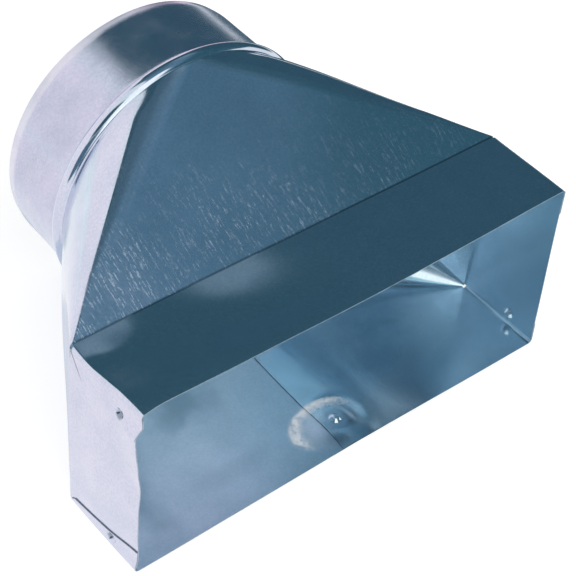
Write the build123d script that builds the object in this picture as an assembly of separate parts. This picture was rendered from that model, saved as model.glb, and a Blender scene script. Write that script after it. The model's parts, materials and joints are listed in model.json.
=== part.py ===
from build123d import *
import os
from math import asin, degrees, hypot

# Straight register boot in galvanised sheet steel. The box mouth faces -Y and the collar leaves along +Y.
# It lies on its flat bottom, with the origin on the floor under its middle. Sizes are millimetres.

# Sheet
sheet = 0.5
lap_gap = 0.1

# Box mouth, measured over the folded corner tabs
mouth_width = 260.0
mouth_height = 109.0
box_depth = 52.5

# Square-to-round transition, from the fold at the back of the box to the round neck
transition_length = 88.0

# Corner tabs of the top and bottom panels, folded over the outside of the side panels
tab_bend_radius = 2.4
tab_relief = 1.5
top_tab_height = 16.0
top_tab_mitre = 9.0
bottom_tab_front = 14.0
bottom_tab_back = 5.0
bottom_tab_mitre = 3.0
side_edge_taper = 1.5

# Lap seam along the bottom: the right half of the sheet lies on the left half
seam_edge_x = -1.0
seam_width = 16.0
seam_joggle = 2.0
slit = 0.4
seam_stop = 14.0

# Clinches that hold the laps: a pit pressed in on one side and a blunt bump on the other
clinch_radius = 2.0
clinch_floor_radius = 1.3
clinch_bump = 1.0
clinch_round = 0.4
top_clinch_y = 14.0
top_clinch_drop = 11.5
bottom_clinch_y = 18.5
bottom_clinch_rise = 7.0
seam_clinch_front = 17.0
seam_clinch_back = 96.0

# Collar, and the bead that locks it in the neck
collar_diameter = 150.4
collar_length = 51.5
collar_inset = 0.3
neck_land = 2.0
bead_width = 7.6
bead_height = 2.3
bead_foot_radius = 1.2
collar_lap = 12.0
collar_lap_start = 2.0
collar_clinch_inset = 9.0

# How far a cutter reaches past the metal that it cuts
cut_margin = 1.0

# Outside faces of the box
half_width = mouth_width / 2
side_face = half_width - sheet - lap_gap
corner_radius = tab_bend_radius - sheet - lap_gap
flat_edge = side_face - corner_radius

# Stations along the duct
neck_y = box_depth + transition_length
bead_y = neck_y + neck_land
bead_end_y = bead_y + bead_width
collar_end_y = neck_y + collar_inset + collar_length

# Round end: the bead stands on the floor plane with the box
collar_radius = collar_diameter / 2
neck_radius = collar_radius + lap_gap + sheet
axis_height = neck_radius + bead_height
duct_axis = Axis((0, 0, axis_height), (0, 1, 0))

# Bead section: a crest arc between two foot arcs that it meets tangent
bead_half = bead_width / 2
arc_sum = (bead_half**2 + bead_height**2) / (2 * bead_height)
crest_radius = arc_sum - bead_foot_radius
bead_slope = degrees(asin(bead_half / arc_sum))

# Two layers of sheet lying on each other
stack = 2 * sheet + lap_gap


def along_y(section, start, length):
    """Extrudes a section drawn as (x, z) from one station of the duct to another."""
    return extrude(Plane.XZ.offset(-start) * section, amount=-length)


def across_x(section):
    """Extrudes an outline drawn as (y, z) right across the part."""
    return extrude(Plane.YZ * section, amount=half_width + cut_margin, both=True)


def outline(*points):
    """A closed straight-sided outline."""
    return Polygon(*points, align=None)


def panel(*points):
    """A flat face between corner points."""
    return Face(Wire.make_polygon(points, close=True))


def quarter_arc(centre_x, centre_z, radius, quadrant, y):
    """A quarter circle in the section at y, counted from +X towards +Z."""
    plane = Plane(origin=(centre_x, y, centre_z), x_dir=(1, 0, 0), z_dir=(0, -1, 0))
    return Edge.make_circle(radius, plane, start_angle=90 * quadrant, end_angle=90 * quadrant + 90)


def duct_solid(inset, front_y, back_y):
    """The duct as a closed solid, its faces set in from the outside of the sheet by inset.

    Each side runs from a flat box panel into a triangle with its point on the neck, and each corner from a
    tight bend into a cone patch that ends in a quarter of the neck."""
    signs = [(1, 1), (-1, 1), (-1, -1), (1, -1)]
    front, fold, neck, back = [], [], [], []
    for quadrant, (sign_x, sign_z) in enumerate(signs):
        corner_x = sign_x * flat_edge
        corner_z = mouth_height / 2 + sign_z * (mouth_height / 2 - corner_radius)
        front.append(quarter_arc(corner_x, corner_z, corner_radius - inset, quadrant, front_y))
        fold.append(quarter_arc(corner_x, corner_z, corner_radius - inset, quadrant, box_depth))
        neck.append(quarter_arc(0, axis_height, neck_radius - inset, quadrant, neck_y))
        back.append(quarter_arc(0, axis_height, neck_radius - inset, quadrant, back_y))
    faces = []
    mouth_edges = []
    for i in range(4):
        after = (i + 1) % 4
        for near, far in ((front, fold), (fold, neck), (neck, back)):
            faces.append(Face.make_surface_from_curves(near[i], far[i]))
        faces.append(panel(front[i] @ 1, front[after] @ 0, fold[after] @ 0, fold[i] @ 1))
        faces.append(panel(fold[i] @ 1, fold[after] @ 0, neck[i] @ 1))
        mouth_edges += [front[i], Edge.make_line(front[i] @ 1, front[after] @ 0)]
    faces.append(Face(Wire(mouth_edges)))
    faces.append(Face(Wire(back)))
    return Solid(Shell(faces))


def folded_duct():
    """Transition with four flaps for the box: the flaps part at the corners, up to the fold."""
    tube = duct_solid(0, 0, bead_y) - duct_solid(sheet, -cut_margin, bead_y + cut_margin)
    reach = corner_radius + cut_margin
    corner = Rectangle(reach, reach, align=(Align.MIN, Align.MIN))
    for side in (1, -1):
        upper = Pos(side * flat_edge, mouth_height - corner_radius) * corner
        lower = Pos(side * flat_edge, corner_radius - reach) * corner
        if side < 0:
            upper = Pos(-reach, 0) * upper
            lower = Pos(-reach, 0) * lower
        tube -= along_y(upper, -cut_margin, box_depth + cut_margin)
        tube -= along_y(lower, -cut_margin, box_depth + cut_margin)
    wedge = outline((0, 0), (box_depth, 0), (box_depth, corner_radius), (0, corner_radius + side_edge_taper))
    floor_strip = Rectangle(2 * flat_edge, 2 * tab_bend_radius + 2 * side_edge_taper)
    return tube - (across_x(wedge) - along_y(floor_strip, -cut_margin, box_depth + 2 * cut_margin))


def corner_tabs():
    """Top and bottom panels with their ends bent over the side panels, square in front and mitred behind."""
    outside = RectangleRounded(mouth_width, mouth_height, tab_bend_radius)
    inside = RectangleRounded(mouth_width - 2 * sheet, mouth_height - 2 * sheet, tab_bend_radius - sheet)
    ring = along_y(Pos(0, mouth_height / 2) * (outside - inside), 0, box_depth)
    back = box_depth - tab_relief
    above = mouth_height + cut_margin
    top = outline(
        (0, above),
        (0, mouth_height - top_tab_height),
        (back - top_tab_mitre, mouth_height - top_tab_height),
        (back, mouth_height - tab_bend_radius),
        (back, above),
    )
    bottom = outline(
        (0, -cut_margin),
        (0, bottom_tab_front),
        (back - bottom_tab_mitre, bottom_tab_back),
        (back, tab_bend_radius),
        (back, -cut_margin),
    )
    return (ring & across_x(top)) + (ring & across_x(bottom))


def bead_line(depth, start_y, end_y=None):
    """One face of the beaded wall, depth inside the outside of the neck, as (y, radius).

    Without end_y the line stops where the crest turns down to the far foot."""
    base = neck_radius - depth
    foot_r = bead_foot_radius + depth
    foot_centre = neck_radius + bead_foot_radius
    crest_centre = (bead_y + bead_half, neck_radius + bead_height - crest_radius)
    line = [
        Line((start_y, base), (bead_y, base)),
        CenterArc((bead_y, foot_centre), foot_r, -90, bead_slope),
        CenterArc(crest_centre, crest_radius - depth, 90 + bead_slope, -2 * bead_slope),
    ]
    if end_y is not None:
        line.append(CenterArc((bead_end_y, foot_centre), foot_r, -90 - bead_slope, bead_slope))
        line.append(Line((bead_end_y, base), (end_y, base)))
    return line


def beaded_wall(depth, start_y, end_y=None):
    """A round wall of one sheet, turned from its beaded section."""
    outer = bead_line(depth, start_y, end_y)
    inner = bead_line(depth + sheet, start_y, end_y)
    ends = [Line(outer[0] @ 0, inner[0] @ 0), Line(outer[-1] @ 1, inner[-1] @ 1)]
    section = make_face(outer + inner + ends)
    return revolve(Plane.YZ * Pos(0, axis_height) * section, axis=duct_axis)


def clinch(point, direction):
    """Boss and pit of one clinch through two layers, pressed from a point on the sheet along a direction."""
    height = stack + clinch_bump
    upright = (Align.CENTER, Align.CENTER, Align.MIN)
    boss = Cone(clinch_radius + sheet, clinch_floor_radius + sheet, height, align=upright)
    boss = fillet(boss.edges().sort_by(Axis.Z)[-1], clinch_round)
    pit = Cone(clinch_radius, clinch_floor_radius, height - sheet, align=upright)
    place = Plane(origin=point, z_dir=direction)
    return place * boss, place * pit


def press(solid, clinches):
    """Adds clinches to a solid."""
    for boss, pit in clinches:
        solid = solid + boss - pit
    return solid


def bottom_seam(lower_layer):
    """Joggled lap along the bottom, from the mouth through the fold into the transition."""
    lap_end = seam_edge_x + seam_width
    rise = sheet + lap_gap
    upper_layer = outline(
        (seam_edge_x, rise),
        (lap_end, rise),
        (lap_end + slit, sheet),
        (lap_end + slit, 0),
        (lap_end + slit + seam_joggle, 0),
        (lap_end + slit + seam_joggle, sheet),
        (lap_end + slit, stack),
        (seam_edge_x, stack),
    )
    gap = Pos(lap_end + slit / 2, 0) * Rectangle(slit, 2 * sheet)
    run = transition_length - seam_stop
    slope = (0, transition_length, bead_height)
    slope_run = run * hypot(transition_length, bead_height) / transition_length
    at_fold = Plane.XZ.offset(-box_depth)
    lower_layer -= along_y(gap, -cut_margin, box_depth + cut_margin)
    lower_layer -= extrude(at_fold * gap, amount=slope_run, dir=slope)
    upper = along_y(upper_layer, 0, box_depth) + extrude(at_fold * upper_layer, amount=slope_run, dir=slope)
    seam_x = seam_edge_x + seam_width / 2
    slope_rise = (seam_clinch_back - box_depth) * bead_height / transition_length
    clinches = [
        clinch((seam_x, seam_clinch_front, 0), (0, 0, 1)),
        clinch((seam_x, seam_clinch_back, slope_rise), (0, 0, 1)),
    ]
    return press(lower_layer + upper, clinches)


def tab_clinches():
    """One clinch through each corner tab and the side panel behind it, pressed from outside."""
    clinches = []
    for side in (1, -1):
        inward = (-side, 0, 0)
        top = (side * half_width, top_clinch_y, mouth_height - top_clinch_drop)
        bottom = (side * half_width, bottom_clinch_y, bottom_clinch_rise)
        clinches += [clinch(top, inward), clinch(bottom, inward)]
    return clinches


def ring_sector(inner, outer, start, sweep):
    """Part of a ring about the duct's axis, as (x, z), with angles from +X towards +Z."""
    arcs = [CenterArc((0, axis_height), radius, start, sweep) for radius in (inner, outer)]
    ends = [Line(arcs[0] @ t, arcs[1] @ t) for t in (0, 1)]
    return make_face(arcs + ends)


def transition_body():
    """The folded sheet: transition, box flaps, corner tabs, bottom lap seam and beaded neck."""
    body = bottom_seam(folded_duct()) + corner_tabs()
    body = press(body, tab_clinches())
    return body + beaded_wall(0, bead_y - neck_land / 2)


def round_collar():
    """The rolled strip: its ends lap under the duct, outside the bore, and it is beaded into the neck."""
    wall = beaded_wall(sheet + lap_gap, neck_y + collar_inset, collar_end_y)
    degrees_per_mm = degrees(1 / collar_radius)
    lap_start = -90 - collar_lap / 2 * degrees_per_mm
    lap_sweep = collar_lap * degrees_per_mm
    slit_sweep = slit * degrees_per_mm
    joggle_sweep = seam_joggle * degrees_per_mm
    lap_inner = collar_radius + lap_gap
    lap_outer = lap_inner + sheet
    bore = collar_radius - sheet
    joggle_start = lap_start + lap_sweep + slit_sweep
    gap = ring_sector(bore - cut_margin, lap_inner, lap_start + lap_sweep, slit_sweep)
    lap = ring_sector(lap_inner, lap_outer, lap_start, lap_sweep + slit_sweep)
    joggle = ring_sector(bore, lap_outer, joggle_start, joggle_sweep)
    first_y = bead_end_y + collar_lap_start
    length = collar_end_y - first_y
    collar = wall - along_y(gap, first_y, length + cut_margin)
    collar += along_y(lap + joggle, first_y, length)
    lowest = axis_height - bore
    ends = (first_y + collar_clinch_inset, collar_end_y - collar_clinch_inset)
    return press(collar, [clinch((0, y, lowest), (0, 0, -1)) for y in ends])


# The mouth is modelled at y = 0, and the part is then set with its middle over the origin
to_origin = Pos(0, -collar_end_y / 2, 0)

os.makedirs("parts", exist_ok=True)
export_step(to_origin * transition_body(), "parts/transition_body.step")
export_step(to_origin * round_collar(), "parts/round_collar.step")
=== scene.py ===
import json
import math
import bpy
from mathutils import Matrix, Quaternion, Vector, noise


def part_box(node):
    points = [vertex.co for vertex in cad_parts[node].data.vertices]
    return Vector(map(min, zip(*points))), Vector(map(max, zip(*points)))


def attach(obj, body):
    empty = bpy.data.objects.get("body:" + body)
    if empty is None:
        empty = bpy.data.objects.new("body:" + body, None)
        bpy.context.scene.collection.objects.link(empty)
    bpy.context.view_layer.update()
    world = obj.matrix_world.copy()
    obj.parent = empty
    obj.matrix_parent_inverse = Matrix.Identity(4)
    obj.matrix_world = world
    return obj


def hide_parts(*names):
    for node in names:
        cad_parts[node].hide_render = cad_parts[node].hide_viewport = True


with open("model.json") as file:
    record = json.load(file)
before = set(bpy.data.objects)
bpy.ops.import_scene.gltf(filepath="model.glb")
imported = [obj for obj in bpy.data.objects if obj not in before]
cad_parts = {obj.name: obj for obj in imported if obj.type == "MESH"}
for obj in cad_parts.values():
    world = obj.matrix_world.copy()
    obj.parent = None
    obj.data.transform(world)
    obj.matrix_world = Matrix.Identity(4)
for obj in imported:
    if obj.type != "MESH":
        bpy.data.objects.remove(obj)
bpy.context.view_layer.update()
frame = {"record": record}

# Sizes are millimetres, in the frame's own axes, until a mesh is made
MM = 0.001


def node_box(node):
    """A node's lowest and highest corners in millimetres."""
    return [Vector(corner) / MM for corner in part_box(node)]


body_low, body_high = node_box("transition_body")
collar_low, collar_high = node_box("round_collar")
bore = next(mount for mount in frame["record"]["mounts"] if mount["name"] == "collar_bore")

# Sheet
sheet = 0.5
lap_gap = 0.1

# Box mouth, over its folded tabs
mouth_y = body_low.y
half_width = body_high.x
mouth_height = 109.0
box_depth = 52.5
tab_bend = 2.4
side_face = half_width - sheet - lap_gap
corner_radius = tab_bend - sheet - lap_gap
flat_edge = half_width - tab_bend

# Tabs, with sizes measured back from the mouth and in from the top and bottom
tab_clearance = 1.5
tab_back = box_depth - tab_clearance
tab_mitre_start = 38.0
top_tab_height = 16.0
top_tab_mitre = 9.0
bottom_tab_front = 14.0
bottom_tab_back = 5.0
bottom_tab_mitre = 3.0
side_edge_taper = 1.5

# Transition, neck and collar
transition_length = 88.0
fold_y = mouth_y + box_depth
neck_y = fold_y + transition_length
axis_z = bore["pos_m"][2] / MM
bore_radius = bore["dims"]["r_mm"]
collar_radius = bore_radius + sheet
neck_radius = collar_radius + lap_gap + sheet
neck_length = 0.3
bead_y = neck_y + neck_length
bead_height = body_high.z - axis_z - neck_radius
bead_crest = 4.2
bead_foot = 0.8
bead_heel = 3.0
rim_turn = 0.8
rim_turn_reach = 6.5
collar_start_y = collar_low.y
collar_end_y = collar_high.y

# Break line of the upper cones, in degrees from the top of the neck and in shares of the slope
break_angle = 24.0
break_reach = 16.0
break_height = 1.0
break_risen = 0.3
break_fades = 0.9

# Lap seam under the duct, and the collar's lap
seam_left = -1.0
seam_width = 16.0
seam_joggle = 2.4
seam_slope = 20.0
seam_tilt = 0.3
seam_stop = 14.0
seam_end_y = neck_y - seam_stop
collar_lap = 12.0
collar_lap_start = 2.0

# Clinches. Those of the tabs are placed by (distance from the mouth, height)
dent_depth = 1.8
dent_floor = 1.2
dent_rim = 3.2
top_clinch = (14.0, mouth_height - 11.5)
bottom_clinch = (18.5, 7.0)
seam_clinch_x = seam_left + seam_width / 2
seam_clinch_y = 17.0

# Mesh pitch: coarse on plain sheet and fine round the clinches
pitch = 4.0
fine_pitch = 0.5
fine_reach = 4.0
tab_pitch = 0.8
box_pitch = 1.5
neck_pitch = 1.0
collar_pitch = 1.5
strap_pitch = 2.0
collar_strap_pitch = 0.8
arc_steps = 44
slope_steps = 34
collar_steps = 240
bead_foot_steps = 8
bead_crest_steps = 22
tab_bend_steps = 7
seam_slope_steps = 12
collar_lap_steps = 24
collar_joggle_steps = 6

# Rows close to the fold: a share of the slope behind it, and a distance before it
fold_row = 0.008
fold_margin = 0.8

# Edges sharper than this many degrees are shaded as creases
crease_angle = 22.0


def spread(start, stop, step, *spots):
    """Even values from start to stop, with closer ones about each spot."""
    count = max(1, round(abs(stop - start) / step))
    values = [start + (stop - start) * k / count for k in range(count + 1)]
    for spot in spots:
        values = [v for v in values if abs(v - spot) > fine_reach or v in (start, stop)]
        steps = round(fine_reach / fine_pitch)
        values += [spot + fine_pitch * k for k in range(-steps, steps + 1)]
    return sorted(set(values), reverse=start > stop)


def lerp(a, b, t):
    return a + (b - a) * t


def smooth(low, high, value):
    """0 below low, 1 above high, and an easy curve between."""
    t = min(1.0, max(0.0, (value - low) / (high - low)))
    return t * t * (3 - 2 * t)


class Skin:
    """The outside of a sheet, gathered patch by patch. Points that fall together are welded."""

    def __init__(self):
        self.points = []
        self.faces = []
        self.index = {}

    def vertex(self, point):
        key = tuple(round(c, 3) for c in point)
        if key not in self.index:
            self.index[key] = len(self.points)
            self.points.append(Vector(point))
        return self.index[key]

    def patch(self, rows):
        """Faces between rows of points. Seen from outside, rows run up and their points run to the left."""
        for low, high in zip(rows, rows[1:]):
            for i in range(len(low) - 1):
                ring = [self.vertex(p) for p in (low[i], high[i], high[i + 1], low[i + 1])]
                corners = list(dict.fromkeys(ring))
                if len(corners) > 2:
                    self.faces.append(corners)

    def bend(self, warp):
        """Moves each point by a function of where it is."""
        self.points = [warp(p) for p in self.points]


def ring_point(radius, angle, y):
    """A point about the duct's axis, the angle counted from +X towards +Z."""
    return (radius * math.cos(angle), y, axis_z + radius * math.sin(angle))


def bead_side(foot):
    """How far a bead's foot is from its crest, and the steepest slope between them."""
    arcs = bead_crest + foot
    half = math.sqrt(arcs**2 - (arcs - bead_height) ** 2)
    return half, math.asin(half / arcs)


crest_y = bead_y + bead_side(bead_foot)[0]
heel_y = crest_y + bead_side(bead_heel)[0]


def rim_inset(y):
    """How far the collar's wall is turned in near its rim."""
    return rim_turn * smooth(0, rim_turn_reach, y - collar_end_y + rim_turn_reach) ** 2


def bead_profile(inset, start_y, end_y=None):
    """(y, radius) along the beaded wall, inset from the outside of the neck.

    Without an end it stops on the bead."""
    front, back = bead_side(bead_foot)[1], bead_side(bead_heel)[1]
    foot_r, crest_r, heel_r = bead_foot + inset, bead_crest - inset, bead_heel + inset
    crest_centre = neck_radius + bead_height - bead_crest
    rows = [(y, neck_radius - inset) for y in spread(start_y, bead_y, neck_pitch)]
    for k in range(1, bead_foot_steps + 1):
        a = front * k / bead_foot_steps
        rows.append((bead_y + foot_r * math.sin(a), neck_radius + bead_foot - foot_r * math.cos(a)))
    for k in range(1, bead_crest_steps + 1):
        a = lerp(front, -back, k / bead_crest_steps)
        rows.append((crest_y - crest_r * math.sin(a), crest_centre + crest_r * math.cos(a)))
    if end_y is None:
        return rows
    for k in range(1, bead_foot_steps + 1):
        a = back - back * k / bead_foot_steps
        rows.append((heel_y - heel_r * math.sin(a), neck_radius + bead_heel - heel_r * math.cos(a)))
    for y in spread(heel_y, end_y, collar_pitch)[1:]:
        rows.append((y, neck_radius - inset - rim_inset(y)))
    return rows


# Stations shared by the patches, so that their edges weld
box_ys = spread(0, tab_back, box_pitch, top_clinch[0], bottom_clinch[0])
box_ys += [box_depth - fold_margin, box_depth]
side_zs = spread(corner_radius, mouth_height - corner_radius, pitch, top_clinch[1], bottom_clinch[1])
floor_xs = spread(-flat_edge, flat_edge, pitch / 2, seam_clinch_x)
top_xs = spread(flat_edge, -flat_edge, pitch)


def loop_columns():
    """(fold point, neck point) round the duct as (x, z): four corner arcs with a flat side after each."""
    low_z, high_z = corner_radius, mouth_height - corner_radius
    corners = [(flat_edge, high_z), (-flat_edge, high_z), (-flat_edge, low_z), (flat_edge, low_z)]
    sides = [
        [(x, mouth_height) for x in top_xs],
        [(-side_face, z) for z in reversed(side_zs)],
        [(x, 0.0) for x in floor_xs],
        [(side_face, z) for z in side_zs],
    ]
    columns = []
    for quadrant, ((cx, cz), side) in enumerate(zip(corners, sides)):
        for k in range(arc_steps + 1):
            a = math.radians(90) * (quadrant + k / arc_steps)
            c, s = math.cos(a), math.sin(a)
            fold = (cx + corner_radius * c, cz + corner_radius * s)
            columns.append((fold, (neck_radius * c, axis_z + neck_radius * s)))
        apex = columns[-1][1]
        columns += [(point, apex) for point in side[1:-1]]
    return columns + columns[:1]


def break_line(neck_x, neck_z, t):
    """How far the sheet stands out along the line where each upper cone was broken over the brake."""
    turn = math.degrees(math.atan2(abs(neck_x), neck_z - axis_z))
    ridge = max(0.0, 1 - abs(turn - break_angle) / break_reach)
    return break_height * ridge * smooth(0.0, break_risen, t) * (1 - smooth(break_fades, 1.0, t))


def transition(skin):
    """Flat triangles and cone patches, ruled from the fold to the neck."""
    columns = loop_columns()
    rows = []
    for t in [0.0, fold_row] + [k / slope_steps for k in range(1, slope_steps + 1)]:
        y = lerp(fold_y, neck_y, t)
        row = []
        for fold, neck_end in columns:
            out = break_line(*neck_end, t)
            x = lerp(fold[0], neck_end[0], t) + out * neck_end[0] / neck_radius
            z = lerp(fold[1], neck_end[1], t) + out * (neck_end[1] - axis_z) / neck_radius
            row.append((x, y, z))
        rows.append(row)
    skin.patch(rows)


def neck(skin):
    """The round neck with its half of the bead."""
    angles = [2 * math.pi * k / (4 * arc_steps) for k in range(4 * arc_steps + 1)]
    skin.patch([[ring_point(r, a, y) for a in angles] for y, r in bead_profile(0, neck_y)])


def box_flaps(skin):
    """Top, bottom and side panels of the box. The lower edge of a side panel rises a little to the front."""
    skin.patch([[(x, mouth_y + y, mouth_height) for x in top_xs] for y in box_ys])
    skin.patch([[(x, mouth_y + y, 0.0) for x in floor_xs] for y in box_ys])
    top = side_zs[-1]

    def lifted(z, y):
        lift = side_edge_taper * (1 - y / box_depth)
        return top - (top - z) * (top - corner_radius - lift) / (top - corner_radius)

    skin.patch([[(-side_face, mouth_y + y, lifted(z, y)) for z in reversed(side_zs)] for y in box_ys])
    skin.patch([[(side_face, mouth_y + y, lifted(z, y)) for z in side_zs] for y in box_ys])


def tab_columns(upper):
    """(x, z of y, back y) across the right-hand tab, from its free edge over the bend to the flat panel."""
    columns = []
    steps = round((top_tab_height if upper else bottom_tab_front) / tab_pitch)
    for k in range(steps):
        share = 1 - k / steps
        if upper:
            depth = lerp(tab_bend, top_tab_height, share)
            rise = lambda y, d=depth: mouth_height - d
            columns.append((half_width, rise, tab_back - top_tab_mitre * share))
        else:
            slope = (bottom_tab_front - bottom_tab_back) / (tab_back - bottom_tab_mitre)
            rise = lambda y, s=share: lerp(tab_bend, bottom_tab_front - slope * y, s)
            columns.append((half_width, rise, tab_back - bottom_tab_mitre * share))
    for k in range(tab_bend_steps + 1):
        a = math.radians(90) * k / tab_bend_steps
        x = flat_edge + tab_bend * math.cos(a)
        drop = tab_bend - tab_bend * math.sin(a)
        z = mouth_height - drop if upper else drop
        columns.append((x, lambda y, z=z: z, tab_back))
    return columns


def corner_tabs(skin):
    """Four tabs bent over the outside of the side panels."""
    for upper in (True, False):
        columns = tab_columns(upper)
        for side in (1, -1):
            rows = []
            for y in box_ys[:-2]:
                row = []
                for x, z_at, back in columns:
                    share = max(0.0, (y - tab_mitre_start) / (tab_back - tab_mitre_start))
                    station = y if share == 0 else lerp(tab_mitre_start, back, share)
                    row.append((side * x, mouth_y + station, z_at(station)))
                rows.append(row if (side > 0) == upper else row[::-1])
            skin.patch(rows)


def seam_strap(skin):
    """The right half of the sheet where it lies on the left half along the bottom."""
    lap_end = seam_left + seam_width
    rise = sheet + lap_gap
    xs = spread(seam_left, lap_end, strap_pitch, seam_clinch_x)
    section = [(x, rise + seam_tilt * (x - seam_left) / seam_width) for x in xs]
    drop = rise + seam_tilt
    for k in range(1, seam_slope_steps + 1):
        x = lap_end + seam_slope * k / seam_slope_steps
        section.append((x, drop * (1 - smooth(0, seam_slope_steps, k))))
    rows = [[(x, mouth_y + y, z) for x, z in section] for y in box_ys]
    for y in spread(fold_y, seam_end_y, pitch)[1:]:
        slope = (y - fold_y) / (neck_y - fold_y) * (axis_z - neck_radius)
        rows.append([(x, y, z + slope) for x, z in section])
    skin.patch(rows)


def collar_wall(skin):
    """The rolled collar, beaded into the neck."""
    angles = [2 * math.pi * k / collar_steps for k in range(collar_steps + 1)]
    profile = bead_profile(sheet + lap_gap, collar_start_y, collar_end_y)
    skin.patch([[ring_point(r, a, y) for a in angles] for y, r in profile])


def collar_strap(skin):
    """The collar's outer end, lapped over its inner end under the duct."""
    half_lap = collar_lap / 2 / collar_radius
    joggle = seam_joggle / collar_radius
    rise = sheet + lap_gap
    section = []
    for k in range(collar_lap_steps + 1):
        section.append((lerp(-half_lap, half_lap, k / collar_lap_steps), rise))
    for k in range(1, collar_joggle_steps + 1):
        fall = 1 - smooth(0, collar_joggle_steps, k)
        section.append((half_lap + joggle * k / collar_joggle_steps, rise * fall))
    rows = []
    for y in spread(heel_y + collar_lap_start, collar_end_y, collar_strap_pitch):
        wall = collar_radius - rim_inset(y)
        rows.append([ring_point(wall + r, a - math.radians(90), y) for a, r in section])
    skin.patch(rows)


def dent_warp(dents):
    """A warp that presses a blunt dent at each (centre, direction)."""
    def warp(p):
        for centre, push in dents:
            offset = p - centre
            along = offset.dot(push)
            if abs(along) > 2 * dent_depth:
                continue
            away = (offset - push * along).length
            if away < dent_rim:
                p = p + push * dent_depth * (1 - smooth(dent_floor, dent_rim, away))
        return p
    return warp


def body_dents():
    """(centre, direction) of the clinches in the tabs and the bottom seam."""
    dents = []
    for side in (1, -1):
        for y, z in (top_clinch, bottom_clinch):
            dents.append((Vector((side * half_width, mouth_y + y, z)), Vector((-side, 0, 0))))
    dents.append((Vector((seam_clinch_x, mouth_y + seam_clinch_y, 0)), Vector((0, 0, 1))))
    return dents


# The slow waves of the sheet come from seeded noise, so that they are the same at each run
wave_seed = 2
wave_length = 70.0
wave_size = 0.5
wave_lift_height = 25.0
noise.seed_set(wave_seed)


def sheet_waves(p):
    """Slow waves of hand-folded sheet: all layers move together, and what stands on the floor stays there."""
    wave = noise.noise_vector(p / wave_length) * wave_size
    wave.z *= smooth(0, wave_lift_height, p.z)
    return p + wave


# Places where the sheet is out of true, as (where, how far, reach on each axis)
pulls = [
    # Front corners of the box
    ((-half_width, mouth_y, mouth_height), (1.6, 0.0, 1.3), (40, 40, 40)),
    ((half_width, mouth_y, mouth_height), (0.9, 1.4, 1.2), (60, 50, 40)),
    ((-half_width, mouth_y, 0), (0.0, -2.6, 0.0), (90, 50, 40)),
    ((-half_width, mouth_y + 30, 0), (-0.9, 0.0, 0.0), (40, 40, 30)),
    ((half_width, mouth_y, 0), (0.8, 0.0, 0.0), (40, 50, 50)),
    # Left side, and both ends of the fold
    ((-half_width, fold_y, 55), (-1.3, 0.0, 0.0), (20, 40, 60)),
    ((-95, fold_y + 60, 55), (-2.0, 0.0, 0.0), (40, 40, 45)),
    ((-half_width, fold_y, mouth_height), (0.0, 0.0, -0.6), (60, 30, 40)),
    ((half_width, fold_y, mouth_height), (-0.9, 0.0, 0.0), (40, 40, 40)),
    ((60, fold_y + 72, 138), (0.8, 0.0, 1.2), (35, 35, 35)),
    # Dog-eared corner of the left tab
    ((-half_width, mouth_y, mouth_height - 5), (0.0, -2.4, 0.0), (7, 9, 6)),
]

# Hollows in the top panel, as (x, depth, reach across, how far before the fold it is deepest)
hollows = [
    (-45.0, 1.8, 32.0, 26.0),
    (-118.0, 2.5, 17.0, 17.0),
]

# Heights between which the hollows take hold, and the share of the box's depth where they start to fade
hollow_from = mouth_height - 6.0
hollow_full = mouth_height - 1.0
hollow_fades = 0.6

# Floor drawn up about its clinch, with a flat top. The layers there are under floor_layers
floor_rise = 1.3
floor_rise_top = 6.0
floor_rise_reach = 20.0
floor_layers = 5.0

# Front edge of the left side panel, as (height, how far it stands out)
left_edge = [
    (3, 0.0),
    (10, -1.0),
    (24, -0.6),
    (40, -0.8),
    (56, -1.8),
    (72, 0.0),
    (84, 1.6),
    (93, 2.4),
    (101, 0.3),
]
left_edge_reach = 22.0


def pulled(p):
    """The sheet drawn out of true at each of the pulls."""
    moved = p.copy()
    for where, shift, reach in pulls:
        away = sum(((a - b) / r) ** 2 for a, b, r in zip(p, where, reach))
        moved += Vector(shift) * math.exp(-away)
    return moved


def hollowed(p):
    """The top panel sunk before the fold, with its front edge left straight."""
    depth = fold_y - p.y
    if depth < 0:
        return p
    drop = 0.0
    for x, deep, across, along in hollows:
        near = depth / along
        drop += deep * near * math.exp((1 - near * near) / 2 - ((p.x - x) / across) ** 2)
    drop *= smooth(hollow_from, hollow_full, p.z) * (1 - smooth(hollow_fades, 1.0, depth / box_depth))
    return p - Vector((0, 0, drop))


def raised_floor(p):
    """The floor drawn up about its clinch."""
    away = math.hypot(p.x - seam_clinch_x, p.y - mouth_y - seam_clinch_y)
    if p.z > floor_layers or away > floor_rise_reach:
        return p
    return p + Vector((0, 0, floor_rise * (1 - smooth(floor_rise_top, floor_rise_reach, away))))


def wavy_edge(p):
    """The front edge of the left side panel, which isn't straight."""
    if p.x > tab_bend - half_width or not left_edge[0][0] < p.z < left_edge[-1][0]:
        return p
    for (low, out_low), (high, out_high) in zip(left_edge, left_edge[1:]):
        if low <= p.z <= high:
            out = lerp(out_low, out_high, smooth(low, high, p.z))
    fade = 1 - smooth(0, left_edge_reach, p.y - mouth_y)
    return p - Vector((out * fade, 0, 0))


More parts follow.
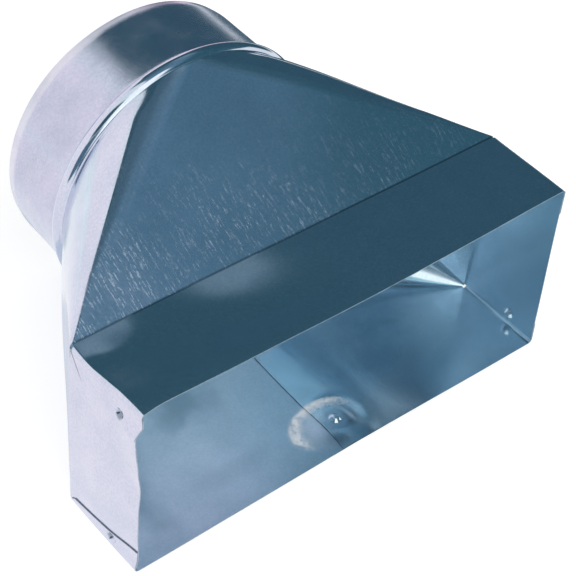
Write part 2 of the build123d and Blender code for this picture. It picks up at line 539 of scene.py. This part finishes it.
def make_piece(name, skin, materials, node):
    """A sheet of one thickness from its outer skin, in place of a CAD node.

    The materials are for the outside, the inside and the cut edges."""
    mesh = bpy.data.meshes.new(name)
    mesh.from_pydata([p * MM for p in skin.points], [], skin.faces)
    for material in materials:
        mesh.materials.append(material)
    piece = bpy.data.objects.new(name, mesh)
    bpy.context.scene.collection.objects.link(piece)
    wall = piece.modifiers.new("sheet", "SOLIDIFY")
    wall.thickness = sheet * MM
    wall.offset = -1.0
    wall.use_even_offset = True
    wall.material_offset = 1
    wall.material_offset_rim = 2
    depsgraph = bpy.context.evaluated_depsgraph_get()
    thick = bpy.data.meshes.new_from_object(piece.evaluated_get(depsgraph))
    piece.modifiers.clear()
    piece.data = thick
    thick.name = name
    thick.shade_smooth()
    thick.set_sharp_from_angle(angle=math.radians(crease_angle))
    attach(piece, "root")
    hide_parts(node)
    return piece


class Shader:
    """Short calls for a material's nodes."""

    def __init__(self, name):
        self.material = bpy.data.materials.new(name)
        self.material.use_nodes = True
        self.tree = self.material.node_tree
        self.surface = self.tree.nodes["Principled BSDF"]

    def node(self, kind, links=None, **values):
        """Adds a node. Names in values are settings or sockets, and links maps sockets to outputs."""
        made = self.tree.nodes.new(kind)
        for key, value in values.items():
            if hasattr(made, key):
                setattr(made, key, value)
            else:
                made.inputs[key.replace("_", " ")].default_value = value
        for key, output in (links or {}).items():
            self.tree.links.new(output, made.inputs[key])
        return made

    def feed(self, socket, output):
        self.tree.links.new(output, self.surface.inputs[socket])

    def place(self, axis=None):
        """Object coordinates in metres, or one of them."""
        place = self.node("ShaderNodeTexCoord").outputs["Object"]
        return self.split(place, axis) if axis else place

    def stretched(self, *scale):
        """Object coordinates in millimetres, scaled on each axis, or on all of them alike."""
        mapped = self.node("ShaderNodeMapping", {"Vector": self.place()})
        mapped.inputs["Scale"].default_value = [s / MM for s in (scale if len(scale) > 1 else scale * 3)]
        return mapped.outputs["Vector"]

    def noise(self, *scale, detail=3.0, roughness=0.55):
        """Cloudy grey about 0.5, by features per millimetre on each axis, or on all of them alike."""
        vector = self.stretched(*scale)
        made = self.node("ShaderNodeTexNoise", {"Vector": vector}, Scale=1.0, Detail=detail)
        made.inputs["Roughness"].default_value = roughness
        return made.outputs["Fac"]

    def math(self, operation, *values):
        """A Math node on outputs and numbers."""
        made = self.node("ShaderNodeMath", operation=operation)
        for socket, value in zip(made.inputs, values):
            if isinstance(value, (int, float)):
                socket.default_value = value
            else:
                self.tree.links.new(value, socket)
        return made.outputs["Value"]

    def product(self, first, *others):
        """Outputs multiplied together."""
        for value in others:
            first = self.math("MULTIPLY", first, value)
        return first

    def largest(self, first, *others):
        """The largest of some outputs."""
        for value in others:
            first = self.math("MAXIMUM", first, value)
        return first

    def vector(self, operation, vector, other=(0.0, 0.0, 0.0), result="Vector"):
        """A Vector Math node on an output and a fixed vector."""
        made = self.node("ShaderNodeVectorMath", {0: vector}, operation=operation)
        made.inputs[1].default_value = other
        return made.outputs[result]

    def mix(self, share, base, colour):
        """A fixed colour laid over an output by a share."""
        made = self.node("ShaderNodeMixRGB", {"Fac": share, "Color1": base}, Color2=(*colour, 1.0))
        return made.outputs["Color"]

    def split(self, vector, axis):
        return self.node("ShaderNodeSeparateXYZ", {"Vector": vector}).outputs[axis]

    def span(self, value, low, high, start, stop):
        """An easy curve from start, at low, to stop, at high."""
        made = self.node("ShaderNodeMapRange", {"Value": value}, interpolation_type="SMOOTHSTEP")
        for socket, number in zip(("From Min", "From Max", "To Min", "To Max"), (low, high, start, stop)):
            made.inputs[socket].default_value = number
        return made.outputs["Result"]

    def reach(self, value, low, high, start, stop):
        """A span over a length, with low and high in millimetres."""
        return self.span(value, low * MM, high * MM, start, stop)

    def ramp(self, value, *stops):
        """Colour or grey stops as (position, colour)."""
        made = self.node("ShaderNodeValToRGB", {"Fac": value})
        elements = made.color_ramp.elements
        while len(elements) < len(stops):
            elements.new(1.0)
        for element, (position, colour) in zip(elements, stops):
            element.position = position
            element.color = colour if len(colour) == 4 else (*colour, 1.0)
        return made.outputs["Color"]


# Colours of the marks on the zinc: dark patches on the floor, painted shade in the fold, tab ends and
# clinches, and dull bloom, which inside is also the painted highlight of the floor ring
floor_patch_colour = (0.24, 0.38, 0.46)
painted_shade_colour = (0.2, 0.26, 0.31)
outside_bloom = (0.5, 0.64, 0.82)
inside_bloom_and_highlight = (0.95, 0.97, 1.0)

# Spangle and grain of the zinc, in features per millimetre
spangle_scale = 0.16
grain_scale = 0.75


def galvanised(name, dark, pale, gloss, mottle, specks=0.0, matt_floor=0.0, outside=False, rim=False):
    """Zinc-coated sheet: clouded tint and gloss, faint spangle and dull specks.

    The outside of the body also has rubbed streaks on its slope, and painted shade along its fold, at the
    ends of its top tabs and in its clinches. Its inside has a floor that is matt to the left of the seam,
    with dark patches and a pale ring that is a painted highlight, duller there too. The collar has a worn
    rim."""
    shader = Shader(name)
    cloud = shader.noise(*mottle, detail=6.0, roughness=0.6)
    cells = shader.node("ShaderNodeTexVoronoi", {"Vector": shader.stretched(spangle_scale)}, Scale=1.0)
    spangle = shader.split(cells.outputs["Color"], "X")
    grain = shader.noise(grain_scale, detail=2.0, roughness=0.7)
    tone = shader.math("MULTIPLY_ADD", spangle, 0.05, shader.math("ADD", grain, cloud))
    tint = shader.ramp(shader.math("MULTIPLY", tone, 0.5), (0.36, dark), (0.68, pale))
    gloss_low, gloss_high = gloss
    sheen = shader.span(shader.noise(*mottle, detail=2.0), 0.3, 0.7, gloss_high, gloss_low)
    dull = shader.span(grain, 0.6, 0.78, 0.0, specks)
    if matt_floor:
        left = shader.math("LESS_THAN", shader.place("X"), seam_left * MM)
        sheen = shader.math("MULTIPLY_ADD", shader.product(left, floor_only(shader)), matt_floor, sheen)
        # The pale ring on the floor is a painted highlight, duller and rougher there too
        dull = shader.largest(dull, ring_highlight(shader))
        tint = shader.mix(dark_floor_patches(shader), tint, floor_patch_colour)
    if rim:
        dull = shader.largest(dull, worn_rim(shader))
    if outside:
        dull = shader.largest(dull, rubbed(shader))
        # Painted shade along the fold, at the ends of the top tabs and in the clinches
        painted_shade = shader.largest(fold_shade(shader), clinch_shade(shader), tab_end_shade(shader))
        tint = shader.mix(painted_shade, tint, painted_shade_colour)
    # The inner bloom colour also paints the highlight of the floor ring
    shader.feed("Base Color", shader.mix(dull, tint, outside_bloom if outside else inside_bloom_and_highlight))
    shader.feed("Metallic", shader.span(dull, 0.0, 1.0, 1.0, 0.4 if outside else 0.0))
    shader.feed("Roughness", shader.math("MULTIPLY_ADD", dull, 0.35, sheen))
    return shader.material


def floor_only(shader):
    """1 on the floor of the box and 0 above it."""
    return shader.math("LESS_THAN", shader.place("Z"), floor_layers * MM)


# Pale ring painted on the floor about its clinch as a painted highlight, with its middle to the left, and its
# palest side
ring_left = 5.0
ring_middle = Vector((seam_clinch_x - ring_left, mouth_y + seam_clinch_y, floor_rise))
ring_reach = Vector((22.0, 16.0, 16.0))
ring_side = (-0.5, 0.87, 0.0)


def ring_highlight(shader):
    """A painted highlight: the floor made pale and dull in a ring about its clinch, most of all at the far
    left.
    """
    offset = shader.vector("SUBTRACT", shader.place(), ring_middle * MM)
    share = shader.vector("DIVIDE", offset, ring_reach * MM)
    away = shader.vector("LENGTH", share, result="Value")
    lean = shader.vector("DOT_PRODUCT", share, ring_side, result="Value")
    patchy = shader.noise(0.25, detail=5.0, roughness=0.65)
    return shader.product(
        shader.span(away, 0.55, 0.86, 0.2, 1.0),
        shader.span(away, 0.88, 1.08, 1.0, 0.0),
        shader.span(lean, -0.4, 0.5, 0.08, 1.0),
        shader.span(patchy, 0.36, 0.58, 0.35, 1.0),
    )


# Dark patches on the floor of the box, as (x, y, reach on each axis, strength)
floor_patches = [
    (-53.0, -27.0, 30.0, 20.0, 0.7),
    (-106.0, -70.0, 14.0, 34.0, 0.55),
    (-56.0, -75.0, 32.0, 10.0, 0.28),
]


def dark_floor_patches(shader):
    """Soft dark patches on the floor of the box."""
    ragged = shader.span(shader.noise(0.05, detail=2.0), 0.3, 0.7, -0.2, 0.2)
    spots = []
    for x, y, across, along, strength in floor_patches:
        dx = shader.math("DIVIDE", shader.math("SUBTRACT", shader.place("X"), x * MM), across * MM)
        dy = shader.math("DIVIDE", shader.math("SUBTRACT", shader.place("Y"), y * MM), along * MM)
        squares = shader.math("ADD", shader.math("POWER", dx, 2.0), shader.math("POWER", dy, 2.0))
        away = shader.math("ADD", shader.math("SQRT", squares), ragged)
        spots.append(shader.span(away, 0.0, 1.0, strength, 0.0))
    return shader.product(shader.largest(*spots), floor_only(shader))


# Wear at the collar's rim: how far in it starts, how far in it is full, and how far past the middle it fades
rim_wear_start = 7.0
rim_wear_full = 4.0
rim_wear_side = 20.0


def worn_rim(shader):
    """The collar rubbed dull along its rim, most of all on the left, with clouds of faint bloom."""
    patchy = shader.noise(0.08, detail=4.0)
    clouds = shader.noise(0.045, detail=5.0, roughness=0.62)
    start, full = collar_end_y - rim_wear_start, collar_end_y - rim_wear_full
    worn = shader.product(
        shader.reach(shader.place("Y"), start, full, 0.0, 0.45),
        shader.reach(shader.place("X"), -rim_wear_side, rim_wear_side, 1.0, 0.15),
        shader.span(patchy, 0.3, 0.6, 0.5, 1.0),
    )
    return shader.largest(worn, shader.span(clouds, 0.44, 0.68, 0.0, 0.1))


# Lines of painted shade, as how far from the middle they are full and how far they reach
fold_shade_width = (0.2, 0.9)
tab_end_shade_width = (0.3, 1.0)
fold_shade_height = (0.9 * mouth_height, 0.97 * mouth_height)


def fold_shade(shader):
    """Painted shade in the crease along the fold of the top panel."""
    away = shader.math("ABSOLUTE", shader.math("SUBTRACT", shader.place("Y"), fold_y * MM))
    high = shader.reach(shader.place("Z"), *fold_shade_height, 0.0, 0.85)
    return shader.product(shader.reach(away, *fold_shade_width, 1.0, 0.0), high)


def tab_end_shade(shader):
    """Painted shade along the mitred end of each top tab, where it lies on the side panel."""
    start = Vector((0, mouth_y + tab_back, mouth_height - tab_bend))
    run = Vector((0, -top_tab_mitre, tab_bend - top_tab_height))
    side = Vector((0, -run.z, run.y)).normalized()
    offset = shader.vector("SUBTRACT", shader.place(), start * MM)
    across = shader.vector("DOT_PRODUCT", offset, side, result="Value")
    along = shader.vector("DOT_PRODUCT", offset, run / run.length_squared / MM, result="Value")
    return shader.product(
        shader.reach(shader.math("ABSOLUTE", across), *tab_end_shade_width, 0.9, 0.0),
        shader.span(along, 0.5, 1.1, 1.0, 0.0),
        shader.math("GREATER_THAN", along, -0.1),
    )


def clinch_shade(shader):
    """Painted shade in the clinches."""
    spots = []
    for centre, push in body_dents():
        offset = shader.vector("SUBTRACT", shader.place(), (centre + push * dent_depth / 2) * MM)
        away = shader.vector("LENGTH", offset, result="Value")
        spots.append(shader.reach(away, dent_floor, dent_rim, 0.85, 0.0))
    return shader.largest(*spots)


# Streaks on the slope, which is told by how far up a face looks. They thin out to the right
slope_from = (0.83, 0.88)
slope_to = (0.93, 0.97)
streak_stop = 4.0
streak_thins = (-80.0, 100.0)
streak_haze = (-110.0, -40.0)


def rubbed(shader):
    """Short pale streaks down the top of the transition, closest together at the fold and to the left."""
    up = shader.split(shader.node("ShaderNodeNewGeometry").outputs["Normal"], "Z")
    across = shader.place("X")
    line = shader.noise(1.25, 0.12, 0.24, detail=1.5, roughness=0.5)
    fleck = shader.noise(0.8, 0.5, 0.5, detail=1.0)
    patch = shader.noise(0.05, 0.03, 0.03, detail=4.0)
    where = shader.product(
        shader.span(up, *slope_from, 0.0, 1.0),
        shader.span(up, *slope_to, 1.0, 0.1),
        shader.reach(shader.place("Y"), fold_y, neck_y - streak_stop, 1.0, 0.12),
        shader.reach(across, *streak_thins, 1.0, 0.38),
    )
    close = shader.product(shader.span(patch, 0.3, 0.62, 0.3, 1.0), where)
    marks = shader.product(
        shader.span(line, 0.46, 0.71, 0.06, 0.6),
        shader.span(fleck, 0.35, 0.6, 0.25, 1.0),
    )
    marks = shader.math("ADD", marks, shader.reach(across, *streak_haze, 0.13, 0.0))
    return shader.product(marks, close)


def cut_edge(name):
    """Sheared edge of the sheet, duller and darker than the faces, with the grain of the cut."""
    shader = Shader(name)
    grain = shader.noise(0.7)
    shader.feed("Base Color", shader.ramp(grain, (0.3, (0.2, 0.25, 0.31)), (0.7, (0.42, 0.47, 0.55))))
    shader.surface.inputs["Metallic"].default_value = 1.0
    shader.feed("Roughness", shader.span(grain, 0.3, 0.7, 0.4, 0.55))
    return shader.material


def build_object():
    """The folded body and the collar, each of one sheet."""
    edge = cut_edge("galvanised_cut_edge")
    even = (0.045, 0.045, 0.045)
    smudged = (0.06, 0.06, 0.03)
    blue = (0.52, 0.615, 0.73), (0.67, 0.735, 0.845)
    teal = (0.535, 0.69, 0.79), (0.665, 0.8, 0.89)
    lavender = (0.45, 0.525, 0.65), (0.6, 0.645, 0.78)
    outer = galvanised("galvanised_sheet", *blue, (0.1, 0.15), even, specks=0.1, outside=True)
    inner = galvanised("galvanised_sheet_inside", *teal, (0.16, 0.21), even, specks=0.05, matt_floor=0.12)
    strip = galvanised("galvanised_strip", *lavender, (0.2, 0.265), smudged, rim=True)
    body = Skin()
    transition(body)
    neck(body)
    box_flaps(body)
    corner_tabs(body)
    seam_strap(body)
    collar = Skin()
    collar_wall(collar)
    collar_strap(collar)
    body.bend(dent_warp(body_dents()))
    for skin in (body, collar):
        skin.bend(wavy_edge)
        skin.bend(raised_floor)
        skin.bend(hollowed)
        skin.bend(pulled)
        skin.bend(sheet_waves)
    make_piece("boot_body", body, [outer, inner, edge], "transition_body")
    make_piece("boot_collar", collar, [strip, inner, edge], "round_collar")


def glow(name, colour=None):
    """A shader that only shines, for the stage."""
    shader = Shader(name)
    shader.surface.inputs["Base Color"].default_value = (0.0, 0.0, 0.0, 1.0)
    shader.surface.inputs["Specular IOR Level"].default_value = 0.0
    shader.surface.inputs["Emission Strength"].default_value = 1.0
    if colour:
        shader.surface.inputs["Emission Color"].default_value = (*colour, 1.0)
    return shader


def soft_glow(name, width, height, colour):
    """A glow that fades out to the edge of a card."""
    shader = glow(name, colour)
    share = shader.vector("MULTIPLY", shader.place(), (2 / width, 2 / height, 1.0))
    x = shader.math("POWER", shader.math("ABSOLUTE", shader.split(share, "X")), 4.0)
    y = shader.math("POWER", shader.math("ABSOLUTE", shader.split(share, "Y")), 4.0)
    shader.feed("Alpha", shader.span(shader.math("ADD", x, y), 0.3, 1.0, 1.0, 0.0))
    return shader.material


def ceiling_glow():
    """Dark behind and to the right, with a grey patch above the part and blue in front."""
    shader = glow("ceiling_glow")
    front_blue, front_dark = (0.13, 0.24, 0.33), (0.045, 0.125, 0.165)
    dim_blue, patch_grey, right_dark = (0.085, 0.155, 0.205), (0.2, 0.29, 0.35), (0.055, 0.128, 0.168)
    far_dark = (0.042, 0.108, 0.143)
    across = shader.place("X")
    depth = shader.place("Y")
    right = shader.span(across, 1.0, 1.85, 0.0, 1.0)
    front = shader.ramp(right, (0.0, front_blue), (1.0, front_dark))
    left = shader.span(across, 0.5, 1.0, 0.0, 0.3)
    band = shader.math("ADD", left, shader.span(across, 1.55, 1.9, 0.0, 0.7))
    middle = shader.ramp(band, (0.0, dim_blue), (0.3, patch_grey), (0.8, right_dark))
    rear = shader.mix(shader.span(depth, 1.2, 1.5, 0.0, 1.0), middle, far_dark)
    behind = shader.span(depth, -0.4, 0.75, 0.0, 1.0)
    both = shader.node("ShaderNodeMixRGB", {"Fac": behind, "Color1": front, "Color2": rear})
    shader.feed("Emission Color", both.outputs["Color"])
    return shader.material


def floor_white():
    """White to the camera and in the metal, with part of it lit, so that it keeps the part's shadow."""
    shader = glow("floor_white", (1.0, 1.0, 1.0))
    shader.surface.inputs["Emission Strength"].default_value = 0.67
    shader.surface.inputs["Base Color"].default_value = (0.55, 0.55, 0.55, 1.0)
    shader.surface.inputs["Roughness"].default_value = 1.0
    return shader.material


def rectangle(width, depth):
    """Corners of a level rectangle about its middle."""
    w, d = width / 2, depth / 2
    return [(-w, -d, 0), (w, -d, 0), (w, d, 0), (-w, d, 0)]


def stage_plane(name, corners, material):
    """One flat face of the stage."""
    mesh = bpy.data.meshes.new(name)
    mesh.from_pydata(corners, [], [tuple(range(len(corners)))])
    mesh.materials.append(material)
    thing = bpy.data.objects.new(name, mesh)
    bpy.context.scene.collection.objects.link(thing)
    return thing


def reflected_only(thing):
    """A card that the metal mirrors and that nothing else sees."""
    thing.visible_camera = False
    thing.visible_diffuse = False
    thing.visible_shadow = False


def direction(azimuth, elevation):
    """Unit vector, azimuth from +Y towards +X, in degrees."""
    a, e = math.radians(azimuth), math.radians(elevation)
    return Vector((math.sin(a) * math.cos(e), math.cos(a) * math.cos(e), math.sin(e)))


def face_part(thing, front, azimuth, elevation, distance):
    """Puts a thing in a direction from the part, with its front axis to the part."""
    out = direction(azimuth, elevation)
    thing.location = Vector((0, 0, axis_z * MM)) + out * distance
    thing.rotation_mode = "QUATERNION"
    thing.rotation_quaternion = (-out).to_track_quat(front, "Y")


def card(name, azimuth, elevation, distance, width, height, colour):
    """A rectangle that faces the part from a direction."""
    face = soft_glow(name + "_glow", width, height, colour)
    thing = stage_plane(name, rectangle(width, height), face)
    face_part(thing, "Z", azimuth, elevation, distance)
    reflected_only(thing)


def floor_card(name, middle, width, depth, colour, gap=0.0001):
    """A rectangle lying on the floor beside the part, with a gap under it."""
    face = soft_glow(name + "_glow", width, depth, colour)
    thing = stage_plane(name, rectangle(width, depth), face)
    thing.location = (*middle, gap)
    reflected_only(thing)


def soft_light(name, azimuth, elevation, distance, width, height, radiance):
    """A rectangular softbox of an even brightness that faces the part, and that no mirror shows."""
    data = bpy.data.lights.new(name, "AREA")
    data.shape = "RECTANGLE"
    data.size, data.size_y = width, height
    data.energy = radiance * math.pi * width * height
    lamp = bpy.data.objects.new(name, data)
    face_part(lamp, "-Z", azimuth, elevation, distance)
    lamp.visible_glossy = False
    bpy.context.scene.collection.objects.link(lamp)


def white_world():
    """White to the camera and in the metal, dimmer as a source of light."""
    world = bpy.data.worlds.new("studio")
    world.use_nodes = True
    tree = world.node_tree
    back = tree.nodes["Background"]
    back.inputs["Color"].default_value = (1.0, 1.0, 1.0, 1.0)
    path = tree.nodes.new("ShaderNodeLightPath")
    level = tree.nodes.new("ShaderNodeMapRange")
    level.inputs["To Min"].default_value = 0.6
    seen = path.outputs["Is Camera Ray"]
    for ray in ("Is Glossy Ray", "Is Transmission Ray"):
        either = tree.nodes.new("ShaderNodeMath")
        either.operation = "MAXIMUM"
        tree.links.new(seen, either.inputs[0])
        tree.links.new(path.outputs[ray], either.inputs[1])
        seen = either.outputs["Value"]
    tree.links.new(seen, level.inputs["Value"])
    tree.links.new(level.outputs["Result"], back.inputs["Strength"])
    bpy.context.scene.world = world


def build_stage():
    """White floor and world, with dark cards and a bright front window for the metal to mirror.

    Sizes of the stage are metres, and its directions are degrees."""
    white_world()
    floor_size = 16.0
    stage_plane("floor", rectangle(floor_size, floor_size), floor_white())
    ceiling_z = 2.6
    low_gap = 0.0003
    outline = [(-0.3, -0.2), (-0.35, -8), (8, -8), (8, 4.5), (0.3, 4.5), (-0.2, 2.3), (-0.78, 1.9)]
    reflected_only(stage_plane("ceiling_card", [(x, y, ceiling_z) for x, y in outline], ceiling_glow()))
    dark_teal = (0.044, 0.106, 0.144)
    front_blue = (0.1, 0.18, 0.25)
    blush = (1.1, 0.985, 1.02)
    card("back_card", 60, 28, 0.42, 0.5, 0.44, dark_teal)
    card("front_card", -122, 10, 1.6, 1.6, 1.2, front_blue)
    card("rear_card", 14, 3, 0.5, 0.55, 0.4, (1.06, 0.79, 0.91))
    card("rear_left_card", -19, 7, 0.139, 0.065, 0.09, (0.2, 0.33, 0.4))
    card("high_left_card", -114, 44, 1.6, 1.2, 0.9, dark_teal)
    card("low_window_card", -171, 17, 1.6, 1.1, 0.6, (1.6, 1.6, 1.55))
    card("left_card", -52, 14, 1.6, 4.0, 2.2, blush)
    floor_card("left_floor_card", (-0.64, 0.0), 1.2, 1.2, blush)
    floor_card("front_floor_card", (0.05, -0.36), 1.0, 0.54, (0.8, 1.07, 1.07))
    # Painted shadow: a dark card on the floor just in front of the mouth, for the shade there that the metal
    # mirrors
    floor_card("mouth_shadow_card", (0.01, -0.115), 0.13, 0.08, (0.06, 0.16, 0.2), gap=low_gap)
    floor_card("mouth_white_card", (-0.1, -0.15), 0.09, 0.12, (1.6, 1.5, 1.5), gap=low_gap)
    floor_card("rear_floor_card", (-0.02, 0.165), 0.1, 0.11, (0.5, 0.6, 0.68), gap=low_gap)
    floor_card("right_floor_card", (0.4, 0.28), 0.5, 0.5, dark_teal)
    floor_card("shade_card", (-0.095, 0.025), 0.1, 0.12, (0.74, 0.77, 0.85), gap=low_gap)
    window = -168, 42, 1.6
    card("front_window_card", *window, 1.4, 1.6, (1.36, 1.33, 1.28))
    soft_light("front_window", *window, 1.2, 1.4, 1.9)


def build_camera():
    """The camera that took the photo, as fitted to its edges."""
    data = bpy.data.cameras.new("photo_camera")
    data.sensor_width = 36.0
    data.lens = 115.19
    data.clip_end = 50.0
    camera = bpy.data.objects.new("photo_camera", data)
    azimuth, elevation, roll = math.radians(42.445), math.radians(45.129), math.radians(6.078)
    level = math.cos(elevation)
    forward = Vector((math.sin(azimuth) * level, math.cos(azimuth) * level, -math.sin(elevation)))
    camera.rotation_mode = "QUATERNION"
    camera.rotation_quaternion = forward.to_track_quat("-Z", "Y") @ Quaternion((0, 0, 1), roll)
    camera.location = Vector((-434.404, -516.252, 715.973)) * MM
    bpy.context.scene.collection.objects.link(camera)
    bpy.context.scene.camera = camera


build_object()
build_stage()
build_camera()
bpy.context.scene.view_settings.view_transform = "Standard"
